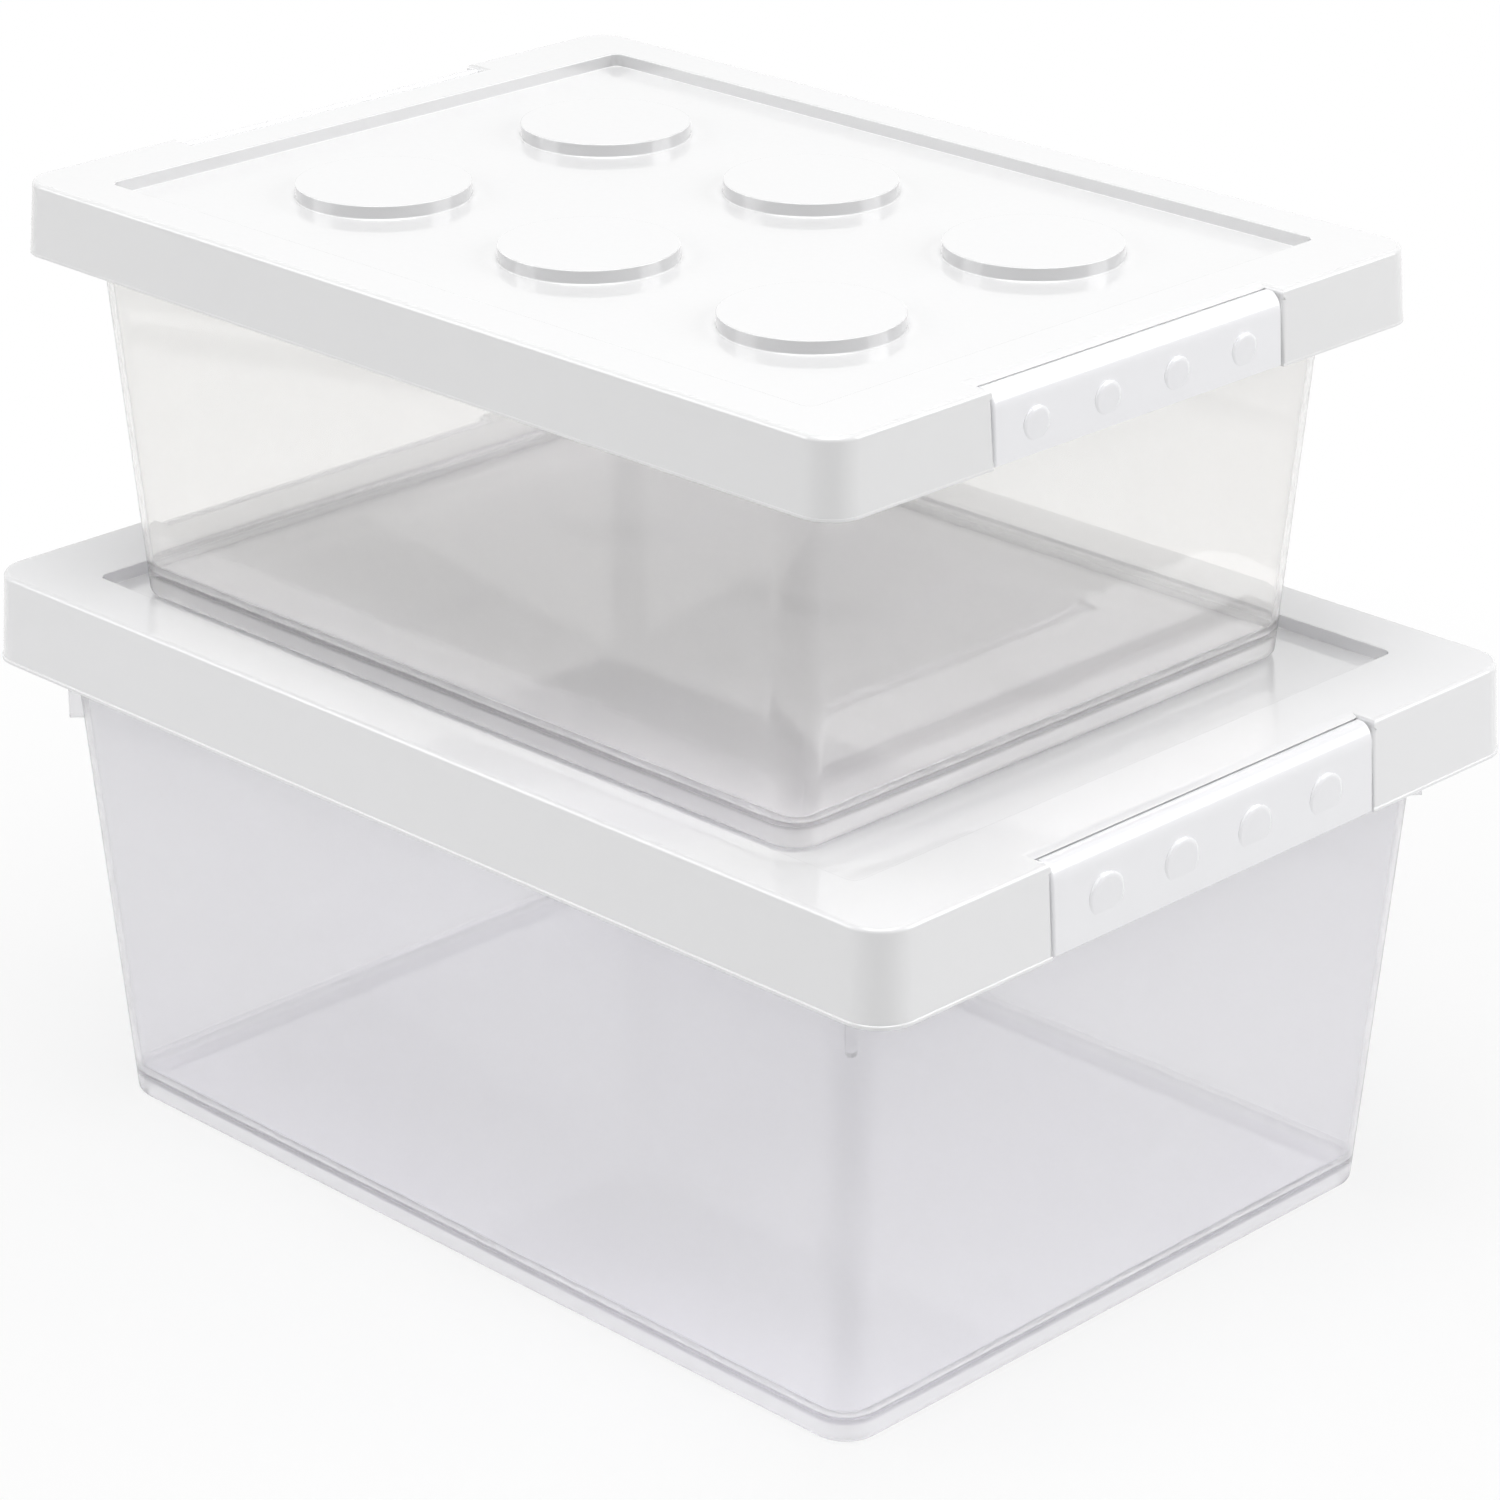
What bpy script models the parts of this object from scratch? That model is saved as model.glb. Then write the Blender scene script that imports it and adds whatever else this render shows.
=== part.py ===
"""Building block storage boxes: a small clear box with a white studded lid, stacked on a large one.

Metres, +Z up, X along the long side. The origin is the middle of the large tub's foot.
Each box is a clear tub, a white lid that lifts off, and two white latches hinged in the lid's ends.
"""
import math

import bmesh
import bpy
from mathutils import Matrix, Vector

# Walls of the mouldings
TUB_WALL = 0.0020
LID_WALL = 0.0022
LATCH_WALL = 0.0022
RIB_WALL = 0.0016
# Gap that pieces seated on each other keep
SEAT_GAP = 0.0003
# How far cutters run past what they cut
OVERRUN = 0.0100

# Draft of the tub's walls and outward lean of the lid's skirt, as slopes
TUB_DRAFT_RATIO = 0.0620
SKIRT_FLARE_RATIO = 0.0600

# Small box: lid plan, heights, and what the lid overhangs
SMALL_LID_LENGTH = 0.3660
SMALL_LID_WIDTH = 0.2620
SMALL_LID_CORNER = 0.0120
SMALL_BOX_HEIGHT = 0.1402
SMALL_SKIRT_HEIGHT = 0.0242
SMALL_OVERHANG_END = 0.0210
SMALL_OVERHANG_SIDE = 0.0086
SMALL_TUB_CORNER = 0.0120
SMALL_PLUG_PLAY_END = 0.0007
SMALL_PLUG_PLAY_SIDE = 0.0051
SMALL_STUD_DIAMETER = 0.0573
SMALL_STUD_MARGIN_END = 0.0321
SMALL_STUD_MARGIN_SIDE = 0.0348
SMALL_LATCH_WIDTH = 0.1296
SMALL_LUG_DROP = 0.0020
SMALL_BUMP_PITCH_SHARE = 0.2407

# Large box: its sunk panel takes the small tub's foot, and its border grows from there
LARGE_LID_CORNER = 0.0140
LARGE_BOX_HEIGHT = 0.1902
LARGE_SKIRT_HEIGHT = 0.0305
LARGE_OVERHANG_END = 0.0200
LARGE_OVERHANG_SIDE = 0.0094
LARGE_TUB_CORNER = 0.0140
LARGE_PLUG_PLAY_END = 0.0074
LARGE_PLUG_PLAY_SIDE = 0.0087
LARGE_STUD_DIAMETER = 0.0648
LARGE_LATCH_WIDTH = 0.1500
LARGE_LUG_DROP = 0.0200
LARGE_BUMP_PITCH_SHARE = 0.2287
# Play of the small tub's foot in the large lid's sunk panel, and where it stands off the middle
STACK_PLAY_END = 0.0207
STACK_PLAY_SIDE = 0.0111
STACK_SHIFT_X = -0.0090
STACK_SHIFT_Y = -0.0045
# The large lid's studs keep this far inside the small tub's foot
STUD_TO_FOOT = 0.0120

# Lid top: sunk panel with studs whose tops are level with the border
RECESS_DEPTH = 0.0044
RECESS_CORNER = 0.0040
RECESS_LEAN = 0.0008
LID_EDGE_FILLET = 0.0015
RECESS_EDGE_FILLET = 0.0008
STUD_EDGE_FILLET = 0.0007
STUDS_LONG = 3
STUDS_ACROSS = 2

# Tub foot, rim and corner lugs
STUD_HEADROOM = 0.0012
FOOT_FLAT = 0.0016
FOOT_EDGE_FILLET = 0.0030
FLOOR_FILLET = 0.0060
RIM_REACH = 0.0040
RIM_LIP_DEPTH = 0.0080
RIM_EDGE_FILLET = 0.0006
LUG_WIDTH = 0.0036
LUG_REACH = 0.0049

# Latch, hinged in a notch of the lid's end
LATCH_TOP_DROP = 0.0010
LATCH_SHOULDER = 0.0035
LATCH_SIDE_GAP = 0.0007
LATCH_END_RISE = 0.0008
BARREL_RADIUS = 0.0030
AXIS_INSET = 0.0046
SWING_GAP = 0.0007
PIN_RADIUS = 0.0016
WEB_WALL = 0.0022
WEB_RISE = 0.0010
APRON_DEPTH = 0.0085
NOTCH_ROLL_RADIUS = 0.0024
NOTCH_SIDE_FILLET = 0.0020
HOOK_HEIGHT = 0.0025
BUMP_RISE = 0.0009
BUMPS = 4
BUMP_RADIUS_SHARE = 0.3430

# Shelf on the tub's end that the latch closes over
SHELF_DROP = 0.0006
SHELF_LIP_RISE = 0.0060
SHELF_LIP_GAP = 0.0012
SHELF_SIDE_INSET = 0.0060
SHELF_RIB_PITCH = 0.0350

# Facets
CORNER_STEPS = 6
FILLET_STEPS = 3
STUD_STEPS = 28
BUMP_STEPS = 20
PIN_STEPS = 12

LID_WHITE = (0.86, 0.86, 0.87, 1.0)
TUB_CLEAR = (0.80, 0.79, 0.84, 1.0)


def box_sizes(lid_length, lid_width, lid_corner, height, skirt, overhang, tub_corner, plug_play,
              stud_diameter, stud_margin, latch_width, lug_drop, bump_pitch_share):
    """Gather one box's sizes and work out those that follow from them."""
    tub_half = (lid_length / 2 - overhang[0], lid_width / 2 - overhang[1])
    recess_half = (tub_half[0] - TUB_WALL - plug_play[0] - LID_WALL,
                   tub_half[1] - TUB_WALL - plug_play[1] - LID_WALL)
    return {
        "lid_half": (lid_length / 2, lid_width / 2),
        "lid_corner": lid_corner,
        "height": height,
        "rim": height - LID_WALL - SEAT_GAP,
        "skirt": skirt,
        "tub_half": tub_half,
        "tub_corner": tub_corner,
        "recess_half": recess_half,
        "stud_radius": stud_diameter / 2,
        "stud_margin": stud_margin,
        "latch_half": latch_width / 2,
        "notch_half": latch_width / 2 + LATCH_SIDE_GAP,
        "axis_x": lid_length / 2 - AXIS_INSET,
        "axis_drop": LATCH_TOP_DROP + BARREL_RADIUS,
        "lug_drop": lug_drop,
        "bump_pitch": latch_width * bump_pitch_share,
    }


def material(name, colour, roughness, transmission=0.0):
    """Principled plastic."""
    mat = bpy.data.materials.new(name)
    mat.use_nodes = True
    shader = mat.node_tree.nodes["Principled BSDF"]
    shader.inputs["Base Color"].default_value = colour
    shader.inputs["Roughness"].default_value = roughness
    shader.inputs["Metallic"].default_value = 0.0
    shader.inputs["Transmission Weight"].default_value = transmission
    return mat


def add_object(name, bm, sharp=math.radians(32)):
    """Turn a closed bmesh into an object, shaded smooth across its gentle edges."""
    bmesh.ops.recalc_face_normals(bm, faces=bm.faces)
    mesh = bpy.data.meshes.new(name)
    bm.to_mesh(mesh)
    bm.free()
    mesh.shade_smooth()
    mesh.set_sharp_from_angle(angle=sharp)
    obj = bpy.data.objects.new(name, mesh)
    bpy.context.collection.objects.link(obj)
    return obj


def skin(bm, loops):
    """Close a body over a run of loops: quads between them and a face on each end."""
    rings = []
    for loop in loops:
        rings.append([bm.verts.new(point) for point in loop])
    for lower, upper in zip(rings, rings[1:]):
        count = len(lower)
        for index in range(count):
            after = (index + 1) % count
            bm.faces.new((lower[index], lower[after], upper[after], upper[index]))
    bm.faces.new(list(reversed(rings[0])))
    bm.faces.new(rings[-1])


def rounded_rectangle(half_x, half_y, radius, z):
    """Plan outline with round corners."""
    points = []
    for sign_x, sign_y, start in ((1, 1, 0), (-1, 1, 1), (-1, -1, 2), (1, -1, 3)):
        for step in range(CORNER_STEPS + 1):
            angle = (start + step / CORNER_STEPS) * math.pi / 2
            points.append(Vector((sign_x * (half_x - radius) + radius * math.cos(angle),
                                  sign_y * (half_y - radius) + radius * math.sin(angle), z)))
    return points


def circle(centre, radius, steps, axis="Z"):
    """Circle about a point, round the Z or the Y axis."""
    points = []
    for step in range(steps):
        angle = step / steps * math.tau
        along = radius * math.cos(angle)
        across = radius * math.sin(angle)
        if axis == "Z":
            points.append(Vector(centre) + Vector((along, across, 0)))
        else:
            points.append(Vector(centre) + Vector((along, 0, -across)))
    return points


def prism(bm, outline, start, end):
    """Extrude an outline of (x, z) points along Y."""
    skin(bm, [[Vector((x, start, z)) for x, z in outline], [Vector((x, end, z)) for x, z in outline]])


def turned(bm, centre, profile, steps):
    """Turn a profile of (radius, z) pairs round a vertical axis."""
    loops = []
    for radius, z in profile:
        loops.append(circle((centre[0], centre[1], z), radius, steps))
    skin(bm, loops)


def combine(target, tool_bm, operation):
    """Join a tool body to the target, or cut it away, and drop the tool."""
    tool = add_object("tool", tool_bm)
    modifier = target.modifiers.new(operation.title(), "BOOLEAN")
    modifier.operation = operation
    modifier.object = tool
    bpy.context.view_layer.objects.active = target
    bpy.ops.object.modifier_apply(modifier=modifier.name)
    mesh = tool.data
    bpy.data.objects.remove(tool)
    bpy.data.meshes.remove(mesh)


def fillet(radius, steps=FILLET_STEPS):
    """Quarter round as (inset, rise) pairs, from the upright face to the flat one."""
    pairs = []
    for step in range(steps + 1):
        angle = step / steps * math.pi / 2
        pairs.append((radius * (1 - math.cos(angle)), radius * math.sin(angle)))
    return pairs


def tub_outline(box, base, inset, z):
    """The tub's outer outline at height z, drawn in by an inset."""
    lean = TUB_DRAFT_RATIO * (base + box["rim"] - z)
    return rounded_rectangle(box["tub_half"][0] - lean - inset, box["tub_half"][1] - lean - inset,
                             box["tub_corner"] - inset, z)


def shelf_face(box):
    """X of the shelf lip's outer face, just inside the latch's inner face."""
    drop = box["skirt"] - SHELF_LIP_RISE
    return box["lid_half"][0] + SKIRT_FLARE_RATIO * drop - LATCH_WALL - SHELF_LIP_GAP


def make_tub(name, box, base):
    """Clear tub: drafted walls, raised floor on a foot ring, turned-down rim, lugs and end shelves."""
    rim = base + box["rim"]
    foot_height = RECESS_DEPTH + STUD_HEADROOM
    floor = base + foot_height + TUB_WALL
    foot_inset = FOOT_EDGE_FILLET + FOOT_FLAT
    loops = [tub_outline(box, base, foot_inset, base + foot_height),
             tub_outline(box, base, foot_inset, base)]
    for inset, rise in reversed(fillet(FOOT_EDGE_FILLET)):
        loops.append(tub_outline(box, base, inset, base + FOOT_EDGE_FILLET - rise))
    loops.append(tub_outline(box, base, 0, rim - TUB_WALL))
    loops.append(tub_outline(box, base, -(RIM_REACH - RIB_WALL), rim - TUB_WALL))
    loops.append(tub_outline(box, base, -(RIM_REACH - RIB_WALL), rim - RIM_LIP_DEPTH))
    loops.append(tub_outline(box, base, -RIM_REACH, rim - RIM_LIP_DEPTH))
    for inset, rise in fillet(RIM_EDGE_FILLET, 2):
        loops.append(tub_outline(box, base, inset - RIM_REACH, rim - RIM_EDGE_FILLET + rise))
    loops.append(tub_outline(box, base, TUB_WALL - RIM_EDGE_FILLET, rim))
    loops.append(tub_outline(box, base, TUB_WALL, rim - RIM_EDGE_FILLET))
    for inset, rise in fillet(FLOOR_FILLET):
        loops.append(tub_outline(box, base, TUB_WALL + inset, floor + FLOOR_FILLET - rise))
    bm = bmesh.new()
    skin(bm, loops)
    tub = add_object(name, bm)

    # Lugs stand out diagonally at the four corners under the rim, round at their lower end
    lug_bottom = base + box["height"] - box["skirt"] - box["lug_drop"]
    corner = box["tub_corner"]
    slope = TUB_DRAFT_RATIO * math.sqrt(2)
    outer = corner + LUG_REACH - slope * (rim - lug_bottom)
    half = LUG_WIDTH / 2
    outline = [(half, rim - TUB_WALL / 2), (-half, rim - TUB_WALL / 2)]
    for inset, rise in fillet(half):
        outline.append((inset - half, lug_bottom + half - rise))
    for inset, rise in reversed(fillet(half)[:-1]):
        outline.append((half - inset, lug_bottom + half - rise))
    bm = bmesh.new()
    for sign_x in (1, -1):
        for sign_y in (1, -1):
            centre = Vector((sign_x * (box["tub_half"][0] - corner), sign_y * (box["tub_half"][1] - corner), 0))
            turn = Matrix.Rotation(math.atan2(sign_y, sign_x), 4, "Z")
            inner_loop = []
            outer_loop = []
            for side, z in outline:
                inner_loop.append(centre + turn @ Vector((corner - slope * (rim - z) - TUB_WALL / 2, side, z)))
                outer_loop.append(centre + turn @ Vector((outer, side, z)))
            skin(bm, [inner_loop, outer_loop])
    combine(tub, bm, "UNION")

    # End shelves with a turned-down lip and ribs under it
    top = base + box["height"] - APRON_DEPTH - SHELF_DROP
    lip_bottom = base + box["height"] - box["skirt"] + SHELF_LIP_RISE
    face = shelf_face(box)
    half = box["latch_half"] - SHELF_SIDE_INSET
    cells = math.ceil(2 * half / SHELF_RIB_PITCH)
    root_top = box["tub_half"][0] - TUB_DRAFT_RATIO * (rim - top) - TUB_WALL / 2
    root_low = box["tub_half"][0] - TUB_DRAFT_RATIO * (rim - lip_bottom) - TUB_WALL / 2
    for sign in (1, -1):
        bm = bmesh.new()
        outline = [(root_top, top), (face - RIM_EDGE_FILLET, top), (face, top - RIM_EDGE_FILLET),
                   (face, lip_bottom), (face - TUB_WALL, lip_bottom),
                   (face - TUB_WALL, top - TUB_WALL), (root_top, top - TUB_WALL)]
        prism(bm, [(sign * x, z) for x, z in outline], -half, half)
        combine(tub, bm, "UNION")
        bm = bmesh.new()
        for index in range(cells + 1):
            middle = -half + RIB_WALL + (2 * half - 2 * RIB_WALL) * index / cells
            outline = [(root_top, top - TUB_WALL / 2), (face - TUB_WALL / 2, top - TUB_WALL / 2),
                       (face - TUB_WALL / 2, lip_bottom + TUB_WALL / 2), (root_low, lip_bottom + TUB_WALL / 2)]
            prism(bm, [(sign * x, z) for x, z in outline], middle - RIB_WALL / 2, middle + RIB_WALL / 2)
        combine(tub, bm, "UNION")
    return tub


def stud_centres(box):
    """Grid of stud centres, its outer studs a margin inside the sunk panel."""
    reach_x = box["recess_half"][0] - box["stud_margin"][0] - box["stud_radius"]
    reach_y = box["recess_half"][1] - box["stud_margin"][1] - box["stud_radius"]
    centres = []
    for column in range(STUDS_LONG):
        for row in range(STUDS_ACROSS):
            centres.append((reach_x * (2 * column / (STUDS_LONG - 1) - 1),
                            reach_y * (2 * row / (STUDS_ACROSS - 1) - 1)))
    return centres


def make_lid(name, box, base):
    """White lid: flared skirt, raised border, sunk panel with hollow studs, hinge notches in both ends."""
    top = base + box["height"]
    half_x, half_y = box["lid_half"]
    corner = box["lid_corner"]
    recess_x, recess_y = box["recess_half"]
    skirt = box["skirt"]

    def outer(inset, drop, offset=0.0):
        lean = SKIRT_FLARE_RATIO * drop - inset
        return rounded_rectangle(half_x + lean, half_y + lean, corner + lean, top - drop - offset)

    def recess(growth, drop):
        return rounded_rectangle(recess_x + growth, recess_y + growth, RECESS_CORNER + growth, top - drop)

    loops = [recess(LID_WALL - RECESS_LEAN, RECESS_DEPTH + LID_WALL), recess(LID_WALL, LID_WALL),
             outer(LID_WALL, LID_WALL), outer(LID_WALL, skirt), outer(0, skirt)]
    for inset, rise in fillet(LID_EDGE_FILLET):
        loops.append(outer(inset, LID_EDGE_FILLET - rise))
    for inset, rise in reversed(fillet(RECESS_EDGE_FILLET, 2)):
        loops.append(recess(inset, RECESS_EDGE_FILLET - rise))
    for inset, rise in fillet(RECESS_EDGE_FILLET, 2):
        loops.append(recess(-RECESS_LEAN - inset, RECESS_DEPTH - RECESS_EDGE_FILLET + rise))
    bm = bmesh.new()
    skin(bm, loops)
    lid = add_object(name, bm)

    # Hollow studs
    bm = bmesh.new()
    radius = box["stud_radius"]
    for centre in stud_centres(box):
        profile = [(radius, top - RECESS_DEPTH - LID_WALL / 2)]
        for inset, rise in fillet(STUD_EDGE_FILLET):
            profile.append((radius - inset, top - STUD_EDGE_FILLET + rise))
        turned(bm, centre, profile, STUD_STEPS)
    combine(lid, bm, "UNION")
    bm = bmesh.new()
    for centre in stud_centres(box):
        turned(bm, centre, [(radius - LID_WALL, top - RECESS_DEPTH - LID_WALL - OVERRUN),
                            (radius - LID_WALL, top - LID_WALL)], STUD_STEPS)
    combine(lid, bm, "DIFFERENCE")

    # Notch in each end: side webs and an apron behind the latch, open below
    wall_x = box["axis_x"] - BARREL_RADIUS - SWING_GAP
    notch = box["notch_half"]
    web_drop = skirt - WEB_RISE
    under = LID_WALL / 2
    for sign in (1, -1):
        block = [(wall_x - LID_WALL, top - under),
                 (half_x + SKIRT_FLARE_RATIO * under - under, top - under),
                 (half_x + SKIRT_FLARE_RATIO * web_drop - under, top - web_drop),
                 (wall_x - LID_WALL, top - web_drop)]
        bm = bmesh.new()
        prism(bm, [(sign * x, z) for x, z in block], -notch - WEB_WALL, notch + WEB_WALL)
        combine(lid, bm, "UNION")
        cut = [(wall_x - NOTCH_ROLL_RADIUS, top + OVERRUN), (half_x + OVERRUN, top + OVERRUN),
               (half_x + OVERRUN, top - skirt - OVERRUN),
               (wall_x - LID_WALL - SWING_GAP, top - skirt - OVERRUN),
               (wall_x - LID_WALL - SWING_GAP, top - APRON_DEPTH), (wall_x, top - APRON_DEPTH)]
        for inset, rise in fillet(NOTCH_ROLL_RADIUS, 4):
            cut.append((wall_x - inset, top - NOTCH_ROLL_RADIUS + rise))
        bm = bmesh.new()
        prism(bm, [(sign * x, z) for x, z in cut], -notch, notch)
        combine(lid, bm, "DIFFERENCE")

        # The skirt's edges beside the latch are rounded, following its lean
        bm = bmesh.new()
        for side in (1, -1):
            loops = []
            for drop in (-OVERRUN, skirt + OVERRUN):
                face = half_x + SKIRT_FLARE_RATIO * drop
                plan = [(face - NOTCH_SIDE_FILLET, notch - OVERRUN), (face + OVERRUN, notch - OVERRUN),
                        (face + OVERRUN, notch + NOTCH_SIDE_FILLET)]
                for inset, rise in fillet(NOTCH_SIDE_FILLET):
                    plan.append((face - inset, notch + NOTCH_SIDE_FILLET - rise))
                loops.append([Vector((sign * x, side * y, top - drop)) for x, y in plan])
            skin(bm, loops)
        combine(lid, bm, "DIFFERENCE")
        bm = bmesh.new()
        ends = (-notch - WEB_WALL - SWING_GAP, notch + WEB_WALL + SWING_GAP)
        centre = (sign * box["axis_x"], 0, top - box["axis_drop"])
        loops = []
        for end in ends:
            loops.append(circle((centre[0], end, centre[2]), PIN_RADIUS + SEAT_GAP, PIN_STEPS, "Y"))
        skin(bm, loops)
        combine(lid, bm, "DIFFERENCE")
    return lid


def latch_outline(box):
    """Latch section as (outward, up) points from the hinge axis."""
    drop = box["axis_drop"]
    bottom = drop - (box["skirt"] - LATCH_END_RISE)

    def outer(z):
        return AXIS_INSET + SKIRT_FLARE_RATIO * (drop - z)

    edge = LATCH_WALL / 4
    points = [(outer(bottom) - edge, bottom), (outer(bottom + edge), bottom + edge)]
    shoulder = BARREL_RADIUS - LATCH_SHOULDER
    for inset, rise in fillet(LATCH_SHOULDER, 5):
        points.append((outer(shoulder) - inset, shoulder + rise))
    inner = outer(0) - LATCH_WALL
    join = math.acos(min(BARREL_RADIUS * 0.95, inner) / BARREL_RADIUS)
    steps = 12
    for step in range(steps + 1):
        angle = math.pi / 2 + (1.5 * math.pi - join) * step / steps
        points.append((BARREL_RADIUS * math.cos(angle), BARREL_RADIUS * math.sin(angle)))
    tip = shelf_face(box) + SEAT_GAP - box["axis_x"]
    hook_top = bottom + HOOK_HEIGHT
    reach = outer(hook_top) - LATCH_WALL - tip
    points.append((outer(-BARREL_RADIUS) - LATCH_WALL, -BARREL_RADIUS))
    points.append((outer(hook_top + reach) - LATCH_WALL, hook_top + reach))
    points.append((tip, hook_top))
    points.append((tip, hook_top - reach))
    points.append((outer(bottom) - LATCH_WALL, bottom))
    return points


def make_latch(name, box, base, sign):
    """White latch: plate with a round shoulder, hinge barrel with pins, hook ridge and round bumps."""
    half = box["latch_half"]
    bm = bmesh.new()
    prism(bm, latch_outline(box), -half, half)
    latch = add_object(name, bm)

    bm = bmesh.new()
    pin = half + LATCH_SIDE_GAP + WEB_WALL
    skin(bm, [circle((0, end, 0), PIN_RADIUS, PIN_STEPS, "Y") for end in (-pin, pin)])
    combine(latch, bm, "UNION")

    drop = box["axis_drop"]
    bottom = drop - (box["skirt"] - LATCH_END_RISE)
    flat = BARREL_RADIUS - LATCH_SHOULDER - bottom
    middle = bottom + flat / 2
    lean = math.atan(SKIRT_FLARE_RATIO)
    radius = flat * BUMP_RADIUS_SHARE
    bm = bmesh.new()
    for index in range(BUMPS):
        across = box["bump_pitch"] * (index - (BUMPS - 1) / 2)
        place = (Matrix.Translation((AXIS_INSET + SKIRT_FLARE_RATIO * (drop - middle), across, middle))
                 @ Matrix.Rotation(math.pi / 2 + lean, 4, "Y"))
        loops = []
        profile = ((radius, -LATCH_WALL / 2), (radius, BUMP_RISE / 3), (radius - BUMP_RISE, BUMP_RISE))
        for ring, rise in profile:
            loops.append([place @ point for point in circle((0, 0, rise), ring, BUMP_STEPS)])
        skin(bm, loops)
    combine(latch, bm, "UNION")

    latch.location = (sign * box["axis_x"], 0, base + box["height"] - drop)
    if sign < 0:
        latch.rotation_euler = (0, 0, math.pi)
    return latch


def make_box(prefix, box, base, shift=(0, 0)):
    """One whole box: tub, lid and the two latches, moved in plan to where it stands."""
    tub = make_tub(prefix + "_tub", box, base)
    tub.data.materials.append(material(prefix + "_clear_plastic", TUB_CLEAR, 0.08, 0.9))
    whites = [make_lid(prefix + "_lid", box, base), make_latch(prefix + "_latch_right", box, base, 1),
              make_latch(prefix + "_latch_left", box, base, -1)]
    for obj in whites:
        obj.data.materials.clear()
        obj.data.materials.append(material(obj.name + "_white_plastic", LID_WHITE, 0.25))
    for obj in [tub] + whites:
        obj.location += Vector((*shift, 0))


for old in list(bpy.data.objects):
    bpy.data.objects.remove(old)

small = box_sizes(SMALL_LID_LENGTH, SMALL_LID_WIDTH, SMALL_LID_CORNER, SMALL_BOX_HEIGHT, SMALL_SKIRT_HEIGHT,
                  (SMALL_OVERHANG_END, SMALL_OVERHANG_SIDE), SMALL_TUB_CORNER,
                  (SMALL_PLUG_PLAY_END, SMALL_PLUG_PLAY_SIDE), SMALL_STUD_DIAMETER,
                  (SMALL_STUD_MARGIN_END, SMALL_STUD_MARGIN_SIDE), SMALL_LATCH_WIDTH, SMALL_LUG_DROP,
                  SMALL_BUMP_PITCH_SHARE)

# The small tub's foot, and the large lid that is drawn round it
foot_half = [half - TUB_DRAFT_RATIO * small["rim"] for half in small["tub_half"]]
large_border = (LARGE_OVERHANG_END + TUB_WALL + LARGE_PLUG_PLAY_END + LID_WALL,
                LARGE_OVERHANG_SIDE + TUB_WALL + LARGE_PLUG_PLAY_SIDE + LID_WALL)
large_lid_length = 2 * (foot_half[0] + STACK_PLAY_END + large_border[0])
large_lid_width = 2 * (foot_half[1] + STACK_PLAY_SIDE + large_border[1])
large_stud_margin = max(STACK_PLAY_END, STACK_PLAY_SIDE) + FOOT_EDGE_FILLET + FOOT_FLAT + STUD_TO_FOOT
large = box_sizes(large_lid_length, large_lid_width, LARGE_LID_CORNER, LARGE_BOX_HEIGHT, LARGE_SKIRT_HEIGHT,
                  (LARGE_OVERHANG_END, LARGE_OVERHANG_SIDE), LARGE_TUB_CORNER,
                  (LARGE_PLUG_PLAY_END, LARGE_PLUG_PLAY_SIDE), LARGE_STUD_DIAMETER,
                  (large_stud_margin, large_stud_margin), LARGE_LATCH_WIDTH, LARGE_LUG_DROP,
                  LARGE_BUMP_PITCH_SHARE)

make_box("large", large, 0.0)
make_box("small", small, LARGE_BOX_HEIGHT - RECESS_DEPTH + SEAT_GAP, (STACK_SHIFT_X, STACK_SHIFT_Y))
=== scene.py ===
"""Building block storage boxes, a small one stacked on a large one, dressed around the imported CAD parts.

Metres, +Z up, X along the long side. Each box is a clear tub, a white studded lid and two hinged latches.
"""
import math

import bmesh
import bpy
from mathutils import Matrix, Vector


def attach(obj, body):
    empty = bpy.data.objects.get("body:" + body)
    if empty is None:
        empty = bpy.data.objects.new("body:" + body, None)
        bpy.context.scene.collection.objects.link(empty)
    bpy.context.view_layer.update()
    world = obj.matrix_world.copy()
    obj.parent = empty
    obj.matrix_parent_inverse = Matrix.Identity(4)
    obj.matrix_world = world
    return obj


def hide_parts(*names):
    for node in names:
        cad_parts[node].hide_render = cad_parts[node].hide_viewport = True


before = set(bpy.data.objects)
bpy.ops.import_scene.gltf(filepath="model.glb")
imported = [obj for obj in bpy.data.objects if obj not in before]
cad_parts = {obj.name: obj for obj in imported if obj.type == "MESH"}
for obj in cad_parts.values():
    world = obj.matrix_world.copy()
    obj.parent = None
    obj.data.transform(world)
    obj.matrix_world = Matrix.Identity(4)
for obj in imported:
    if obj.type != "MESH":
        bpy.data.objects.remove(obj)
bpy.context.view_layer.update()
bpy.ops.object.select_all(action="DESELECT")

# Camera
# The photograph looks over the near corner of the stack from a little above, with a long lens.
CAMERA_DOWN = 23.052
CAMERA_TURN = 44.733
camera_data = bpy.data.cameras.new("camera")
camera_data.sensor_width = 36.0
camera_data.lens = 118.07
camera_data.clip_end = 20.0
camera = bpy.data.objects.new("camera", camera_data)
camera.location = (1.05953, -1.06154, 0.77978)
camera.rotation_euler = (math.radians(90 - CAMERA_DOWN), 0, math.radians(CAMERA_TURN))
bpy.context.scene.collection.objects.link(camera)
bpy.context.scene.camera = camera
bpy.context.scene.view_settings.view_transform = "Standard"

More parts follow.
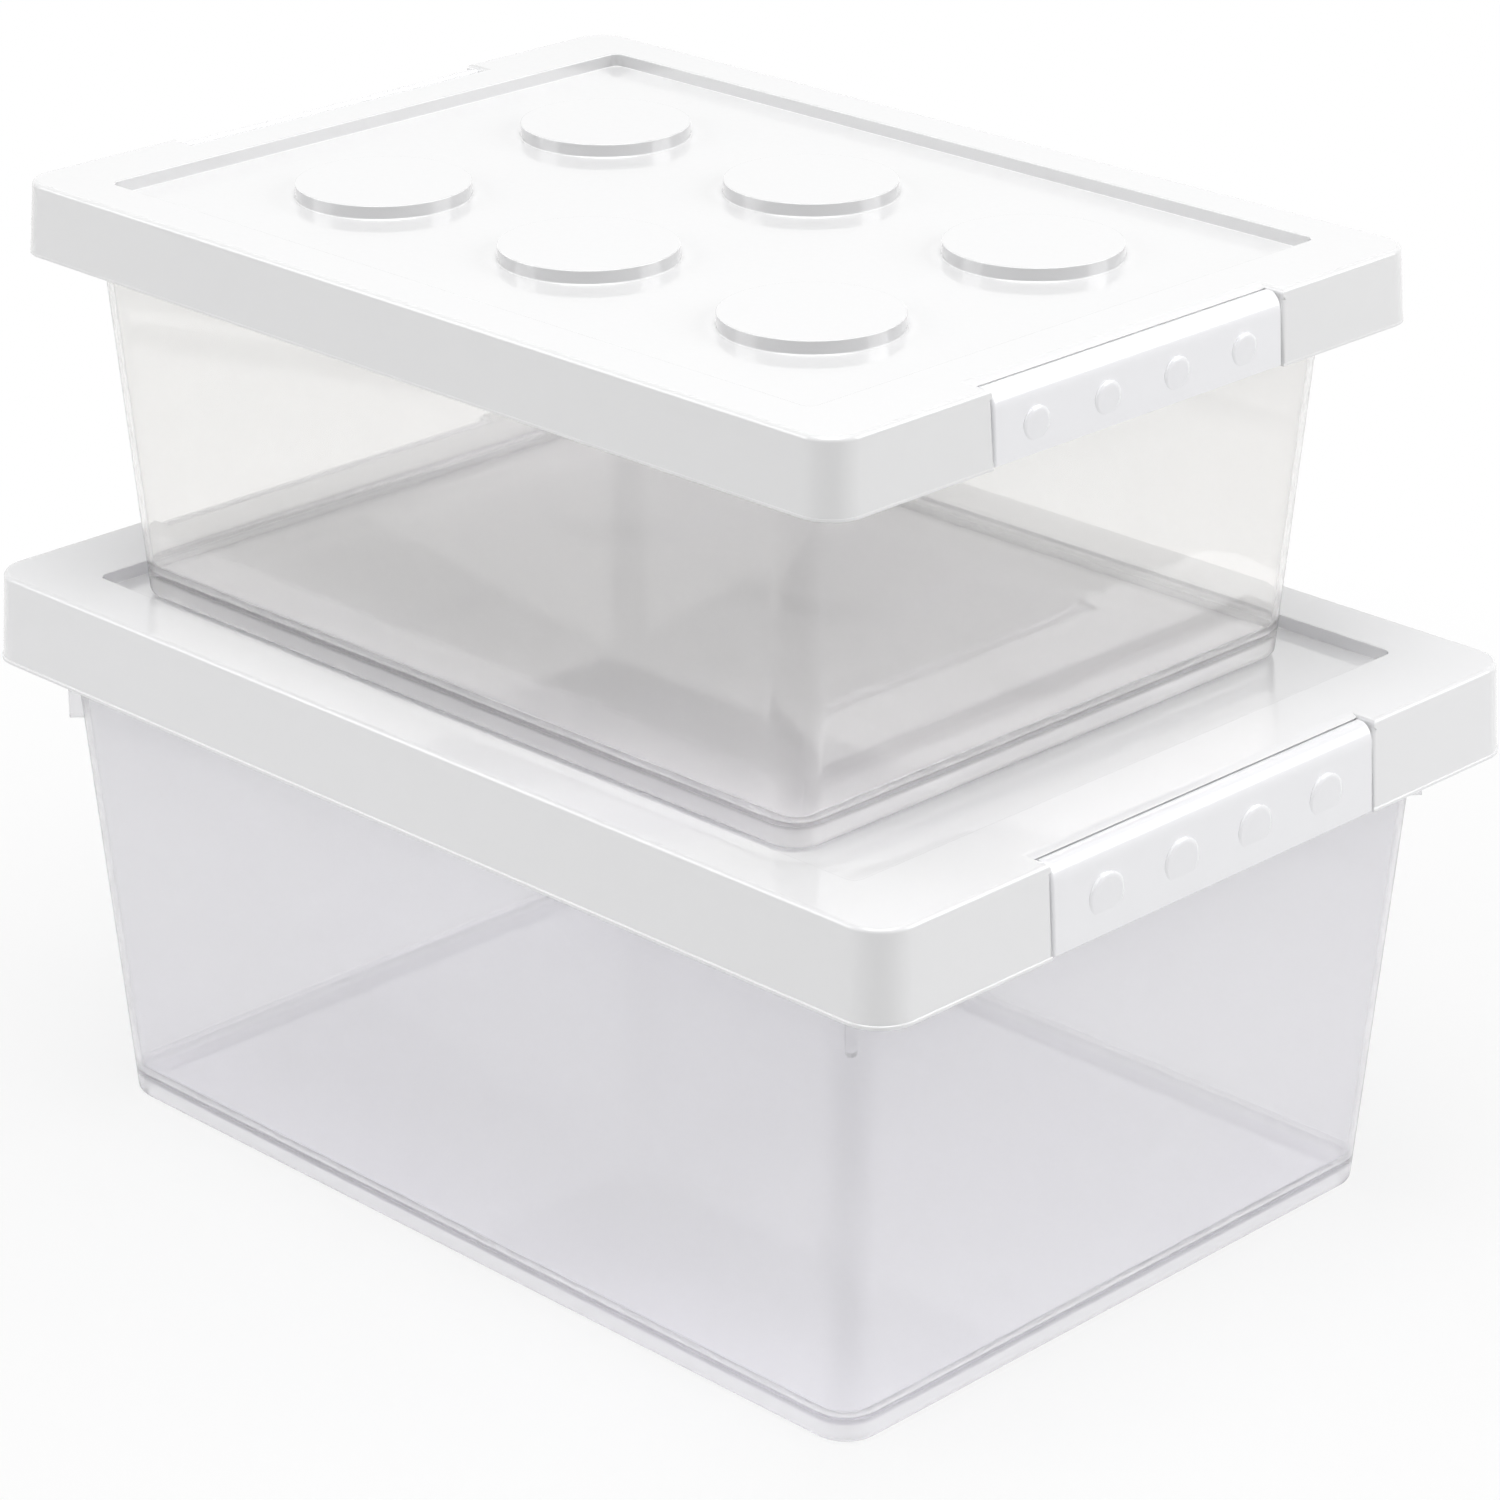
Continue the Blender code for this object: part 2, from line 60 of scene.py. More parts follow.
# Tubs
# The real piece is one injection moulding in clear polypropylene with drafted walls about 2 mm thick.
# The floor stands raised on a foot ring, and the rim turns down into a lip.
# Each end has a shelf for the latch, and each corner a lug.
PLACES = {
    "large": {"middle": (0.0, 0.0), "base": 0.0, "top": 0.1902},
    "small": {"middle": (-0.009, -0.0045), "base": 0.1861, "top": 0.3263},
}
TUBS = {
    "large": {"half": (0.185763, 0.137863), "corner": 0.0140, "skirt": 0.0305, "lug_drop": 0.0200,
              "shelf_face": 0.203833, "shelf_half": 0.0690, "shelf_cells": 4},
    "small": {"half": (0.162000, 0.122400), "corner": 0.0120, "skirt": 0.0242, "lug_drop": 0.0020,
              "shelf_face": 0.180692, "shelf_half": 0.0588, "shelf_cells": 4},
}
TUB_WALL = 0.0020
TUB_DRAFT = 0.0620
RIM_BELOW_TOP = 0.0025
RIM_REACH = 0.0040
RIM_LIP = 0.0080
RIM_ROUND = 0.0006
RIB_WALL = 0.0016
FOOT_RECESS = 0.0056
FOOT_ROUND = 0.0030
FOOT_FLAT = 0.0016
FLOOR_ROUND = 0.0060
LUG_WIDTH = 0.0036
LUG_REACH = 0.0049
LUG_ROUND = 0.0005
LUG_END_SHARE = 0.99
LUG_STEPS = 6
SHELF_BELOW_TOP = 0.0091
SHELF_LIP_RISE = 0.0060
# Rows of edges across the wall, below the rim and above the base
ROW_BELOW_RIM = 0.030
ROW_ABOVE_BASE = 0.045
# Steps of the round corners, and of wide and narrow rounded edges
CORNER_STEPS = 16
WIDE_STEPS = 8
NARROW_STEPS = 4
# How far pieces that are joined run into each other
OVERLAP = 0.001
# What picks parts of a mesh: within TINY or CLOSE a point is on a place, over LONG an edge runs along its
# piece, and over FACING a normal points along an axis
TINY = 1e-6
CLOSE = 1e-5
LONG = 0.01
FACING = 0.9


def activate(piece):
    """Select one piece alone and make it the active one."""
    bpy.ops.object.select_all(action="DESELECT")
    piece.select_set(True)
    bpy.context.view_layer.objects.active = piece


def turn_to(piece, matrix):
    """Place a piece by a matrix, and apply it to the mesh."""
    activate(piece)
    piece.matrix_world = matrix
    bpy.ops.object.transform_apply(location=True, rotation=True, scale=True)


def edit(piece):
    """Open one piece in edit mode with nothing picked."""
    activate(piece)
    bpy.ops.object.mode_set(mode="EDIT")
    bpy.ops.mesh.select_all(action="DESELECT")


def pick(kind, test):
    """Pick the faces, edges or vertices whose middle, and for faces whose normal, passes a test."""
    bpy.ops.mesh.select_mode(type={"faces": "FACE", "edges": "EDGE", "verts": "VERT"}[kind])
    bpy.ops.mesh.select_all(action="DESELECT")
    mesh = bmesh.from_edit_mesh(bpy.context.edit_object.data)
    for part in getattr(mesh, kind):
        if kind == "faces":
            chosen = test(part.calc_center_median(), part.normal)
        elif kind == "edges":
            chosen = test(*[vert.co for vert in part.verts])
        else:
            chosen = test(part.co)
        if chosen:
            part.select_set(True)
    mesh.select_flush_mode()
    bmesh.update_edit_mesh(bpy.context.edit_object.data)


def picked_box():
    """Lowest and highest corner of the picked vertices."""
    mesh = bmesh.from_edit_mesh(bpy.context.edit_object.data)
    points = [vert.co for vert in mesh.verts if vert.select]
    low = Vector([min(point[axis] for point in points) for axis in range(3)])
    high = Vector([max(point[axis] for point in points) for axis in range(3)])
    return low, high


def carry(height, half=None):
    """Extrude the picked cap to a height, then scale it to new half sizes."""
    high = picked_box()[1]
    bpy.ops.mesh.extrude_region_move(TRANSFORM_OT_translate={"value": (0, 0, height - high.z)})
    resize_cap(half)


def resize_cap(half):
    """Scale the picked cap about its own middle to new half sizes."""
    if half is None:
        return
    low, high = picked_box()
    middle = (low + high) / 2
    size = (high - low) / 2
    bpy.ops.transform.resize(value=(half[0] / size.x, half[1] / size.y, 1), center_override=middle)


def draw_in(inset, rise, facing):
    """Inset the picked cap and move it up by a rise; facing is 1 if the cap looks up and -1 if down."""
    bpy.ops.mesh.inset(thickness=inset, depth=rise * facing, use_even_offset=True)


def draw_along(points, facing):
    """Draw the picked cap in along points of inset and rise, both measured from where it starts."""
    done_inset = 0.0
    done_rise = 0.0
    for inset, rise in points:
        draw_in(inset - done_inset, rise - done_rise, facing)
        done_inset = inset
        done_rise = rise


def round_cap(radius, steps, facing, rise_sign, convex=True):
    """Carry the picked cap round a quarter circle towards its middle; rise_sign is 1 for up, -1 for down."""
    points = []
    for step in range(1, steps + 1):
        angle = step / steps * math.pi / 2
        if convex:
            points.append((radius * (1 - math.cos(angle)), radius * math.sin(angle) * rise_sign))
        else:
            points.append((radius * math.sin(angle), radius * (1 - math.cos(angle)) * rise_sign))
    draw_along(points, facing)


def block(name, low, high):
    """Add a cube at its size and place."""
    low = Vector(low)
    high = Vector(high)
    bpy.ops.mesh.primitive_cube_add(size=1, location=(low + high) / 2, scale=high - low)
    piece = bpy.context.object
    piece.name = name
    bpy.ops.object.transform_apply(location=True, rotation=True, scale=True)
    return piece


def rounded_block(name, middle, half, bottom, top, corner, steps):
    """Add a cube with round upright edges."""
    piece = block(name, (middle[0] - half[0], middle[1] - half[1], bottom),
                  (middle[0] + half[0], middle[1] + half[1], top))
    edit(piece)
    pick("edges", lambda a, b: abs(a.z - b.z) > TINY)
    bpy.ops.mesh.bevel(offset=corner, offset_type="OFFSET", segments=steps, affect="EDGES")
    return piece


def finish_edit():
    """Leave edit mode."""
    bpy.ops.object.mode_set(mode="OBJECT")


def combine(piece, tool, operation):
    """Join a tool to a piece or cut it away, and remove the tool."""
    activate(piece)
    modifier = piece.modifiers.new("combine", "BOOLEAN")
    modifier.operation = operation
    modifier.solver = "EXACT"
    modifier.object = tool
    bpy.ops.object.modifier_apply(modifier=modifier.name)
    bpy.data.meshes.remove(tool.data)


def smooth(piece, degrees=40):
    """Shade the gentle edges smooth and keep the flat faces flat."""
    activate(piece)
    bpy.ops.object.shade_smooth_by_angle(angle=math.radians(degrees))
    modifier = piece.modifiers.new("even_normals", "WEIGHTED_NORMAL")
    modifier.keep_sharp = True
    modifier.weight = 100
    bpy.ops.object.modifier_apply(modifier=modifier.name)


def linear(hex_colour):
    """Turn an sRGB hex colour into a linear one."""
    values = []
    for start in (0, 2, 4):
        value = int(hex_colour[start:start + 2], 16) / 255
        values.append(value / 12.92 if value <= 0.04045 else ((value + 0.055) / 1.055) ** 2.4)
    return (*values, 1.0)


def add_node(material, kind, settings=None, values=None, links=None):
    """Add a node with its settings and socket values, and link other nodes' outputs into it."""
    made = material.node_tree.nodes.new(kind)
    for name, value in (settings or {}).items():
        setattr(made, name, value)
    for name, value in (values or {}).items():
        made.inputs[name].default_value = value
    for name, (source, output) in (links or {}).items():
        material.node_tree.links.new(source.outputs[output], made.inputs[name])
    return made


def new_material(name):
    """Start a material that holds only its output."""
    material = bpy.data.materials.new(name)
    material.use_nodes = True
    for node in list(material.node_tree.nodes):
        if node.type != "OUTPUT_MATERIAL":
            material.node_tree.nodes.remove(node)
    return material


def set_surface(material, shader):
    """Link a shader to the material's surface."""
    output = [node for node in material.node_tree.nodes if node.type == "OUTPUT_MATERIAL"][0]
    material.node_tree.links.new(shader.outputs[0], output.inputs["Surface"])


def clear_plastic(name, tint, cloud, haze, base):
    """Clear polypropylene: glossy, faintly cool, a little hazy, and grey at a slant, partly its deeper
    colour and partly painted shade.
    """
    material = new_material(name)
    place = add_node(material, "ShaderNodeTexCoord")
    flow = add_node(material, "ShaderNodeTexNoise", values={"Scale": 9.0, "Detail": 4.0, "Roughness": 0.55},
                    links={"Vector": (place, "Object")})
    colour = add_node(material, "ShaderNodeMix", {"data_type": "RGBA"}, links={0: (flow, "Fac")})
    colour.inputs["A"].default_value = linear(tint)
    colour.inputs["B"].default_value = linear(cloud)
    # Painted shade at a slant: the colour turns grey where the wall is seen edge-on
    slant = add_node(material, "ShaderNodeLayerWeight", values={"Blend": 0.5})
    edge = add_node(material, "ShaderNodeMapRange", values={"From Min": 0.74, "From Max": 0.97},
                    links={"Value": (slant, "Facing")})
    deep_and_shaded = add_node(material, "ShaderNodeMix", {"data_type": "RGBA"}, links={0: (edge, "Result")})
    material.node_tree.links.new(colour.outputs[2], deep_and_shaded.inputs["A"])
    deep_and_shaded.inputs["B"].default_value = linear(SLANT_SHADE_GREY)
    gloss = add_node(material, "ShaderNodeMapRange", values={"To Min": 0.015, "To Max": 0.045},
                     links={"Value": (flow, "Fac")})
    ripple = add_node(material, "ShaderNodeBump", values={"Strength": 0.06, "Distance": 0.0004},
                      links={"Height": (flow, "Fac")})
    # The thick foot and floor are milkier than the walls
    split = add_node(material, "ShaderNodeSeparateXYZ", links={0: (place, "Object")})
    clear = add_node(material, "ShaderNodeMapRange",
                     values={"From Min": base + HAZE_FADE[0], "From Max": base + HAZE_FADE[1],
                             "To Min": 1.0 - FOOT_HAZE, "To Max": 1.0 - haze},
                     links={"Value": (split, "Z")})
    # At a steep slant the wall turns opaque and grey: partly its colour seen lengthways, partly painted
    # shade that draws its outline as a grey line
    rest = add_node(material, "ShaderNodeMapRange",
                    values={"From Min": 0.80, "From Max": 0.96, "To Min": 1.0, "To Max": 0.10},
                    links={"Value": (slant, "Facing")})
    share = add_node(material, "ShaderNodeMath", {"operation": "MULTIPLY"},
                     links={0: (clear, "Result"), 1: (rest, "Result")})
    shader = add_node(material, "ShaderNodeBsdfPrincipled", values={"IOR": 1.49},
                      links={"Base Color": (deep_and_shaded, 2), "Roughness": (gloss, "Result"),
                             "Normal": (ripple, "Normal"), "Transmission Weight": (share, "Value")})
    # Light from the lamps passes through the wall, and the foot lets less of it by
    rise = add_node(material, "ShaderNodeMapRange",
                    values={"From Min": base + SHADOW_FADE[0], "From Max": base + SHADOW_FADE[1]},
                    links={"Value": (split, "Z")})
    pale = add_node(material, "ShaderNodeMix", {"data_type": "RGBA"}, links={0: (rise, "Result")})
    pale.inputs["A"].default_value = linear(FOOT_SHADOW)
    pale.inputs["B"].default_value = linear(WALL_SHADOW)
    path = add_node(material, "ShaderNodeLightPath")
    passed = add_node(material, "ShaderNodeBsdfTransparent", links={"Color": (pale, 2)})
    both = add_node(material, "ShaderNodeMixShader",
                    links={0: (path, "Is Shadow Ray"), 1: (shader, 0), 2: (passed, 0)})
    set_surface(material, both)
    return material


def make_tub(size):
    """Model one tub from a slab at its rim, carried up over the rim and down to the foot."""
    place = PLACES[size]
    tub = TUBS[size]
    rim = place["top"] - RIM_BELOW_TOP
    base = place["base"]
    corner = tub["corner"]

    def wall_half(height, grow):
        return [half - TUB_DRAFT * (rim - height) + grow for half in tub["half"]]

    lip_bottom = rim - RIM_LIP
    piece = rounded_block(size + "_tub_shell", place["middle"], wall_half(rim, RIM_REACH), lip_bottom,
                          rim - RIM_ROUND, corner + RIM_REACH, CORNER_STEPS)
    # Inside: over the rim, down the wall and round into the floor
    pick("faces", lambda spot, normal: normal.z > FACING)
    round_cap(RIM_ROUND, NARROW_STEPS, 1, 1)
    draw_in(RIM_REACH + TUB_WALL - 2 * RIM_ROUND, 0, 1)
    round_cap(RIM_ROUND, NARROW_STEPS, 1, -1, convex=False)
    floor = base + FOOT_RECESS + TUB_WALL
    for height in (rim - ROW_BELOW_RIM, base + ROW_ABOVE_BASE, floor + FLOOR_ROUND):
        carry(height, wall_half(height, -TUB_WALL))
    round_cap(FLOOR_ROUND, WIDE_STEPS, 1, -1)
    # Outside: round the lip, down the wall, round the foot and up under the floor
    pick("faces", lambda spot, normal: normal.z < -FACING)
    resize_cap(wall_half(lip_bottom, RIM_REACH))
    draw_in(RIB_WALL, 0, -1)
    carry(rim - TUB_WALL, wall_half(rim, RIM_REACH - RIB_WALL))
    draw_in(RIM_REACH - RIB_WALL, 0, -1)
    for height in (rim - ROW_BELOW_RIM, base + ROW_ABOVE_BASE, base + FOOT_ROUND):
        carry(height, wall_half(height, 0))
    round_cap(FOOT_ROUND, WIDE_STEPS, -1, -1)
    draw_in(FOOT_FLAT, 0, -1)
    carry(base + FOOT_RECESS)
    finish_edit()

    # Lugs stand out at the corners, each modelled along X and turned to its corner
    middle = place["middle"]
    lug_bottom = place["top"] - tub["skirt"] - tub["lug_drop"]
    slope = TUB_DRAFT * math.sqrt(2)
    outer = corner + LUG_REACH - slope * (rim - lug_bottom)
    for sign_x in (1, -1):
        for sign_y in (1, -1):
            root = Vector((middle[0] + sign_x * (tub["half"][0] - corner),
                           middle[1] + sign_y * (tub["half"][1] - corner), 0))
            lug = block("lug", (corner - OVERLAP, -LUG_WIDTH / 2, lug_bottom),
                        (outer, LUG_WIDTH / 2, rim - TUB_WALL / 2))
            edit(lug)
            pick("verts", lambda co: co.x < corner and co.z < lug_bottom + OVERLAP)
            bpy.ops.transform.translate(value=(-slope * (rim - lug_bottom), 0, 0))
            pick("edges", lambda a, b: abs(a.y - b.y) < TINY and max(a.z, b.z) < lug_bottom + OVERLAP)
            bpy.ops.mesh.bevel(offset=LUG_WIDTH / 2 * LUG_END_SHARE, segments=LUG_STEPS, affect="EDGES")
            pick("edges", lambda a, b: min(a.x, b.x) > outer - CLOSE and abs(a.z - b.z) > LONG / 2)
            bpy.ops.mesh.bevel(offset=LUG_ROUND, segments=NARROW_STEPS, affect="EDGES")
            finish_edit()
            turn_to(lug, Matrix.Translation(root) @ Matrix.Rotation(math.atan2(sign_y, sign_x), 4, "Z"))
            combine(piece, lug, "UNION")

    # Shelves that the latches close over, with ribs under them
    top = place["top"] - SHELF_BELOW_TOP
    lip_low = place["top"] - tub["skirt"] + SHELF_LIP_RISE
    face = tub["shelf_face"]
    reach = tub["shelf_half"]
    root_x = tub["half"][0] - TUB_DRAFT * (rim - top) - TUB_WALL / 2
    root_low = tub["half"][0] - TUB_DRAFT * (rim - lip_low) - TUB_WALL / 2
    for sign in (1, -1):
        def across(x):
            return middle[0] + sign * x

        slab = block("shelf", (min(across(root_x), across(face)), middle[1] - reach, top - TUB_WALL),
                     (max(across(root_x), across(face)), middle[1] + reach, top))
        edit(slab)
        pick("edges", lambda a, b: abs(a.y - b.y) > LONG and abs(a.x - across(face)) < CLOSE
             and abs(b.x - across(face)) < CLOSE and a.z > top - CLOSE)
        bpy.ops.mesh.bevel(offset=RIM_ROUND, segments=NARROW_STEPS, affect="EDGES")
        finish_edit()
        combine(piece, slab, "UNION")
        lip = block("lip", (min(across(face - TUB_WALL), across(face)), middle[1] - reach, lip_low),
                    (max(across(face - TUB_WALL), across(face)), middle[1] + reach, top - TUB_WALL / 2))
        combine(piece, lip, "UNION")
        for index in range(tub["shelf_cells"] + 1):
            rib_y = middle[1] - reach + RIB_WALL + (2 * reach - 2 * RIB_WALL) * index / tub["shelf_cells"]
            rib = block("rib", (min(across(root_x), across(face - TUB_WALL / 2)), rib_y - RIB_WALL / 2,
                                lip_low + TUB_WALL / 2),
                        (max(across(root_x), across(face - TUB_WALL / 2)), rib_y + RIB_WALL / 2,
                         top - TUB_WALL / 2))
            edit(rib)
            pick("verts", lambda co: abs(co.x - across(root_x)) < CLOSE and co.z < lip_low + TUB_WALL)
            bpy.ops.transform.translate(value=(sign * (root_low - root_x), 0, 0))
            finish_edit()
            combine(piece, rib, "UNION")
    smooth(piece)
    return piece


FOOT_HAZE = 0.38
# Heights above the base over which the foot's haze and shadow fade into the wall's
HAZE_FADE = (0.0070, 0.0100)
SHADOW_FADE = (0.001, 0.008)
# Grey of the painted shade on the tubs' outlines at a slant
SLANT_SHADE_GREY = "757b7b"
FOOT_SHADOW = "b0b0b4"
WALL_SHADOW = "f4f3f7"
CLEAR_TINT = {"large": ("fbfafd", "fdfdfe", 0.22), "small": ("fdfcfb", "fefefd", 0.10)}
for size in ("large", "small"):
    shell = make_tub(size)
    shell.data.materials.clear()
    tint = CLEAR_TINT[size]
    shell.data.materials.append(clear_plastic(size + "_clear_polypropylene", *tint, PLACES[size]["base"]))
    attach(shell, size + "_tub")
    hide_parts(size + "_tub")

# Lids
# The real piece is one white polypropylene moulding: a skirt that leans out, a border, and a sunk panel.
# The panel's round hollow studs are level with the border, and each end has a notch for its latch.
LIDS = {
    "large": {"half": (0.205763, 0.147263), "corner": 0.0140, "skirt": 0.0305, "bead": 0.00045,
              "panel": (0.174163, 0.124963), "studs": (0.10446, 0.05526), "stud": 0.0324,
              "latch": 0.0750, "axis_x": 0.201163},
    "small": {"half": (0.183000, 0.131000), "corner": 0.0120, "skirt": 0.0242, "bead": 0.00010,
              "panel": (0.157100, 0.113100), "studs": (0.09635, 0.04965), "stud": 0.02865,
              "latch": 0.0648, "axis_x": 0.178400},
}
LID_WALL = 0.0022
SKIRT_FLARE = 0.0600
LID_ROUND = 0.0015
LID_STEPS = 6
BEAD_HEIGHT = 0.0007
PANEL_DEPTH = 0.0044
PANEL_CORNER = 0.0040
PANEL_LEAN = 0.0001
PANEL_ROUND = 0.0004
STUD_ROUND = 0.0003
STUD_STEPS = 5
STUD_ROOT = 0.0006
STUD_ROOT_TURN = 0.93
STUD_ROOT_SINK = 1.03
STUD_SIDES = 96
HOLLOW_DEPTH = 0.020
AXIS_BELOW_TOP = 0.0040
BARREL = 0.0033
SWING_GAP = 0.0004
SIDE_GAP = 0.0007
WEB_WALL = 0.0022
WEB_RISE = 0.0010
APRON = 0.0085
# The notch's upper edge slopes down to a nose over the latch's barrel. Each pair is a depth below the top
# and how far the edge reaches past the notch's wall.
NOTCH_EDGE = ((0.0034, 0.0), (0.0023, 0.0005), (0.0018, 0.00075), (0.00105, 0.0012),
              (0.00030, -0.00073), (0.00008, -0.0016), (0.0, -0.0023))
NOTCH_NOSE = 3
NOTCH_NOSE_ROUND = 0.0002
NOTCH_SIDE_ROUND = 0.0016
NOTCH_SIDE_SHARE = 0.8
NOTCH_SIDE_STEPS = 6
PIN = 0.0016
PIN_HOLE = 0.0019
PIN_SIDES = 32
# How far cutters run past what they cut
OVERRUN = 0.010


def white_plastic(name, light, shade, rough_low, rough_high, wall_shade=None):
    """White polypropylene off a polished tool: even colour with faint flow marks, smooth gloss.

    The last argument gives the middle, half sizes and lowest level of a panel whose steep walls get painted
    shade, a greyer colour.
    """
    material = new_material(name)
    place = add_node(material, "ShaderNodeTexCoord")
    flow = add_node(material, "ShaderNodeTexNoise", values={"Scale": 7.0, "Detail": 5.0, "Roughness": 0.6},
                    links={"Vector": (place, "Object")})
    colour = add_node(material, "ShaderNodeMix", {"data_type": "RGBA"}, links={0: (flow, "Fac")})
    colour.inputs["A"].default_value = linear(light)
    colour.inputs["B"].default_value = linear(shade)
    fine = add_node(material, "ShaderNodeTexNoise", values={"Scale": 420.0, "Detail": 2.0},
                    links={"Vector": (place, "Object")})
    gloss = add_node(material, "ShaderNodeMapRange", values={"To Min": rough_low, "To Max": rough_high},
                     links={"Value": (fine, "Fac")})
    skin = add_node(material, "ShaderNodeBump", values={"Strength": 0.05, "Distance": 0.0002},
                    links={"Height": (fine, "Fac")})
    shader = add_node(material, "ShaderNodeBsdfPrincipled",
                      values={"IOR": 1.49, "Coat Weight": 1.0, "Coat Roughness": 0.03},
                      links={"Base Color": (colour, 2), "Roughness": (gloss, "Result"),
                             "Normal": (skin, "Normal")})
    # Painted shade: the panel's steep walls and stud sides take a greyer colour
    if wall_shade:
        middle, half, level = wall_shade
        split = add_node(material, "ShaderNodeSeparateXYZ", links={0: (place, "Object")})
        facing = add_node(material, "ShaderNodeSeparateXYZ", links={0: (place, "Normal")})
        tests = [(split, "Z", "GREATER_THAN", level)]
        for axis, index in (("X", 0), ("Y", 1)):
            tests += [(split, axis, "GREATER_THAN", middle[index] - half[index]),
                      (split, axis, "LESS_THAN", middle[index] + half[index])]
        steep = add_node(material, "ShaderNodeMapRange", values={"From Min": 0.35, "From Max": 0.60,
                                                                 "To Min": 1.0, "To Max": 0.0},
                         links={"Value": (facing, "Z")})
        inside = (steep, "Result")
        for source, output, operation, limit in tests:
            test = add_node(material, "ShaderNodeMath", {"operation": operation},
                            links={0: (source, output)})
            test.inputs[1].default_value = limit
            both = add_node(material, "ShaderNodeMath", {"operation": "MULTIPLY"},
                            links={0: inside, 1: (test, "Value")})
            inside = (both, "Value")
        # This mix paints that shade grey on the walls, with the gloss left as it is
        matt = add_node(material, "ShaderNodeMix", {"data_type": "RGBA"}, links={0: inside})
        material.node_tree.links.new(colour.outputs[2], matt.inputs["A"])
        matt.inputs["B"].default_value = linear(PAINTED_WALL_SHADE)
        material.node_tree.links.new(matt.outputs[2], shader.inputs["Base Color"])
    set_surface(material, shader)
    return material


def round_bar(name, centre, radius, length, steps, axis="Y"):
    """Add a cylinder along Y or Z at its place."""
    turn = (math.pi / 2, 0, 0) if axis == "Y" else (0, 0, 0)
    bpy.ops.mesh.primitive_cylinder_add(vertices=steps, radius=radius, depth=length, location=centre,
                                        rotation=turn)
    piece = bpy.context.object
    piece.name = name
    bpy.ops.object.transform_apply(location=True, rotation=True, scale=True)
    return piece


def edge_reach(drop):
    """How far the notch's edge stands past its wall at a depth below the lid's top."""
    for (low, low_reach), (high, high_reach) in zip(NOTCH_EDGE, NOTCH_EDGE[1:]):
        if drop >= high:
            share = min((low - drop) / (low - high), 1) if drop < low else 0
            return low_reach + (high_reach - low_reach) * share
    return NOTCH_EDGE[-1][1]


def side_flare(drop):
    """How far the notch's side is rounded back at a depth below the lid's top."""
    if drop > NOTCH_SIDE_ROUND:
        return 0.0
    return NOTCH_SIDE_ROUND - math.sqrt(NOTCH_SIDE_ROUND ** 2 - (NOTCH_SIDE_ROUND - drop) ** 2)


